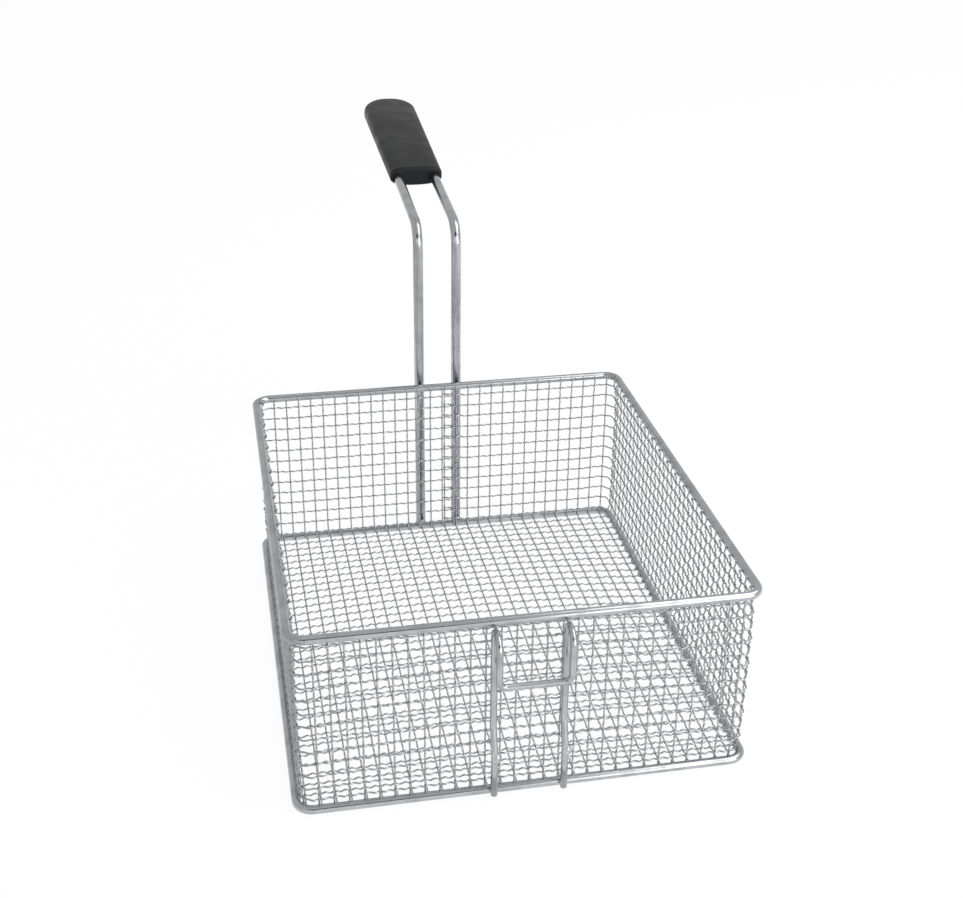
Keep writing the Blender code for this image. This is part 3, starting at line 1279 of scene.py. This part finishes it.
@dataclass
class Welds:
    """The beads that hold the mesh, the handle and the hook to the rods, and the rim's own joint."""

    sizes: BasketSizes
    mesh_bead: Triple = (0.0008, 0.0008, 0.0015)
    leg_bead: Triple = (0.0034, 0.0016, 0.0014)
    leg_bead_drop: float = 0.0032
    hook_bead: Triple = (0.0030, 0.0027, 0.0038)
    hook_bead_aside: float = 0.0013
    hook_bead_drop: float = 0.00456
    size_change: float = 0.2
    joint_x: float = 0.0025
    joint_bead: Triple = (0.0005, 0.00308, 0.00308)

    def leg_places(self, handle: Handle) -> list[Vector]:
        """Under the rim and over the foot ring, at both legs of the handle."""
        sizes, side = self.sizes, handle.spacing / 2
        y = sizes.back_y + sizes.frame_rod / 2
        heights = (sizes.rim_z - self.leg_bead_drop, sizes.ring_z + self.leg_bead_drop)
        return [Vector((x, y, z)) for x in (-side, side) for z in heights]

    def hook_places(self, hook: FrontHook) -> list[Vector]:
        """Below the hook's joggles, where its legs are welded to the mesh."""
        low = self.sizes.ring_z + hook.joggle_low - self.hook_bead_drop
        path = hook.path()
        return [Vector((foot.x + self.hook_bead_aside, foot.y, low)) for foot in (path[0], path[-1])]

    def build(
        self, tree: BeadTree, wall: WovenWall, handle: Handle, hook: FrontHook, finish: Material
    ) -> None:
        """Makes the beads.

        Args:
            tree: The beads' node tree.
            wall: The woven wall.
            handle: The handle.
            hook: The front hook.
            finish: The beads' material.
        """
        joint = [Vector((self.joint_x, self.sizes.back_y, self.sizes.rim_z))]
        groups = (
            ("mesh_weld_beads", wall.weld_places(), self.mesh_bead, self.size_change),
            ("handle_weld_beads", self.leg_places(handle), self.leg_bead, self.size_change),
            ("hook_weld_beads", self.hook_places(hook), self.hook_bead, self.size_change),
            ("rim_joint", joint, self.joint_bead, 0.0),
        )
        for seed, (name, places, size, change) in enumerate(groups, 1):
            values = {"Bead size": size, "Size change": change, "Seed": seed, "Finish": finish}
            add_piece(name, tree.lay(name, places, values), finish, Slot.ROD)


# The studio


@dataclass(frozen=True)
class Panel:
    """A large soft light panel that the plating mirrors."""

    name: str
    centre: Triple
    size: Pair
    tilt: float = 0.0
    turn: float = 0.0

    def make(self, light: float) -> None:
        """Puts the panel in the scene.

        Args:
            light: How bright it is, as a share of white.
        """
        data = bpy.data.lights.new(self.name, "AREA")
        data.shape = "RECTANGLE"
        data.size, data.size_y = self.size
        data.energy = light * math.pi * self.size[0] * self.size[1]
        lamp = placed(self.name, data)
        lamp.location = self.centre
        lamp.rotation_euler = (self.tilt, 0.0, self.turn)
        lamp.visible_camera = False


@dataclass(frozen=True)
class Studio:
    """A plain white studio: a floor that keeps the shadow, soft light, and a camera as in the photo.

    A pair of numbers is a smooth ramp. In the sky, x, y and z are the parts of a direction.
    """

    floor_size: float = 30.0
    floor_colour: float = 0.86
    floor_roughness: float = 0.9
    white_level: float = 1.05
    white_share: float = 0.88
    mirrored_left: float = 0.74
    left_to_right: Pair = (-0.26, -0.10)
    mirrored_sky: float = 0.66
    sky_light: float = 0.48
    front_y: Pair = (-0.75, -0.55)
    band_z: tuple[Pair, ...] = ((0.40, 0.46), (0.66, 0.74))
    band_depth: float = 0.9
    gap_x: tuple[Pair, ...] = ((-0.15, -0.13), (-0.10, -0.08))
    gap_depth: float = 0.8
    glow_z: tuple[Pair, ...] = ((-0.02, 0.02), (0.34, 0.40))
    glow_light: float = 0.44
    panel_light: float = 1.9
    panels: tuple[Panel, ...] = (
        Panel("overhead_panel", centre=(1.765, -0.90, 2.0), size=(2.27, 2.8), turn=math.radians(12)),
        Panel("front_panel", centre=(1.70, -2.3, 0.86), size=(2.40, 1.72), tilt=math.pi / 2),
    )
    focal_pixels: float = 1457.2
    image_width: float = 963.0
    sensor: float = 36.0
    clip: Pair = (0.05, 50.0)
    yaw: float = math.radians(11.223)
    pitch: float = math.radians(26.873)
    roll: float = math.radians(0.614)
    eye: Triple = (-0.17823, -0.90693, 0.63098)

    def build(self, sizes: BasketSizes) -> None:
        """Makes the floor, the light and the camera.

        Args:
            sizes: The basket's shared sizes.
        """
        self.make_floor()
        self.make_world()
        for panel in self.panels:
            panel.make(self.panel_light)
        self.make_camera(sizes)
        bpy.context.scene.view_settings.view_transform = "Standard"

    def make_floor(self) -> None:
        """A large pale floor, white to the camera, with painted shade on its left side as the metal
        mirrors it.
        """
        mesh = bpy.data.meshes.new("floor")
        body = bmesh.new()
        bmesh.ops.create_grid(body, x_segments=1, y_segments=1, size=self.floor_size / 2)
        body.to_mesh(mesh)
        body.free()
        floor = placed("floor", mesh)
        material, graph, shader = new_material("studio_floor")
        shader.inputs["Base Color"].default_value = (*(self.floor_colour,) * 3, 1.0)
        shader.inputs["Roughness"].default_value = self.floor_roughness
        shader.inputs["Specular IOR Level"].default_value = 0.0
        rays = graph.add("ShaderNodeLightPath")
        seen = rays["Is Camera Ray"] + rays["Is Glossy Ray"] + rays["Is Transmission Ray"]
        place = graph.add("ShaderNodeTexCoord")["Object"]
        # Painted shade: to glossy rays the floor's left side is dimmed to mirrored_left of white, and its
        # right side stays white.
        to_right = graph.parts(place)["X"].smooth(*self.left_to_right)
        painted_left_shade = rays["Is Glossy Ray"] * (1.0 - to_right) * (1.0 - self.mirrored_left)
        strength = (1.0 - painted_left_shade) * self.white_level
        white = graph.add("ShaderNodeEmission", None, {"Strength": strength})
        lit = Outputs(graph, shader)["BSDF"]
        values = {0: seen * self.white_share, 1: lit, 2: white["Emission"]}
        surface = graph.add("ShaderNodeMixShader", None, values)[0]
        link(graph, surface, material.node_tree.nodes["Material Output"], "Surface")
        mesh.materials.append(material)

    def make_world(self) -> None:
        """White to the camera, an even light on the object, and a studio in its reflections."""
        world = bpy.data.worlds.new("studio_world")
        bpy.context.scene.world = world
        world.use_nodes = True
        tree = world.node_tree
        tree.nodes.clear()
        graph = Graph(tree)
        parts = graph.parts(graph.add("ShaderNodeTexCoord")["Generated"])
        x, y, z = parts["X"], parts["Y"], parts["Z"]
        in_front = 1.0 - y.smooth(*self.front_y)
        dark_band = z.between(*self.band_z) * in_front * self.band_depth
        dark_gap = x.between(*self.gap_x) * in_front * self.gap_depth
        glow = z.between(*self.glow_z) * in_front * self.glow_light
        level = (glow + self.mirrored_sky) * (1.0 - dark_band) * (1.0 - dark_gap)
        rays = graph.add("ShaderNodeLightPath")
        mirror = rays["Is Glossy Ray"]
        camera = rays["Is Camera Ray"]
        strength = camera + (1.0 - camera) * (mirror * level + (1.0 - mirror) * self.sky_light)
        white = (1.0, 1.0, 1.0, 1.0)
        light = graph.add("ShaderNodeBackground", None, {"Color": white, "Strength": strength})
        graph.add("ShaderNodeOutputWorld", None, {"Surface": light["Background"]})

    def make_camera(self, sizes: BasketSizes) -> None:
        """The camera, where the photo was taken from.

        Args:
            sizes: The basket's shared sizes.
        """
        sine, cosine = math.sin(self.pitch), math.cos(self.pitch)
        forward = Vector((math.sin(self.yaw) * cosine, math.cos(self.yaw) * cosine, -sine))
        level_right = Vector((math.cos(self.yaw), -math.sin(self.yaw), 0))
        level_up = level_right.cross(forward)
        right = level_right * math.cos(self.roll) + level_up * math.sin(self.roll)
        up = level_up * math.cos(self.roll) - level_right * math.sin(self.roll)
        turn = Matrix((right, up, -forward)).transposed().to_4x4()
        data = bpy.data.cameras.new("camera")
        data.sensor_width = self.sensor
        data.lens = self.focal_pixels * self.sensor / self.image_width
        data.clip_start, data.clip_end = self.clip
        camera = placed("camera", data)
        eye = Vector(self.eye) + Vector((0, sizes.centre_y, 0))
        camera.matrix_world = Matrix.Translation(eye) @ turn
        bpy.context.scene.camera = camera


def main() -> None:
    """Builds and dresses the basket and its studio."""
    logging.basicConfig(level=logging.INFO, format="%(name)s %(message)s")
    sizes = BasketSizes()
    rod, wire, plastic = ROD_FINISH.make(), WIRE_FINISH.make(), GRIP_FINISH.make()
    tree, crimped = WeaveTree(), CrimpedWire(sizes.wire)
    wall, handle, hook = WovenWall(sizes), Handle(sizes), FrontHook(sizes)
    wall.build(tree, crimped, wire)
    WovenFloor(sizes).build(tree, crimped, wire)
    FrameRods(sizes).build(rod)
    handle.build(rod, plastic)
    hook.build(rod)
    Welds(sizes).build(BeadTree(), wall, handle, hook, WELD_FINISH.make())
    Studio().build(sizes)


if __name__ == "__main__":
    main()
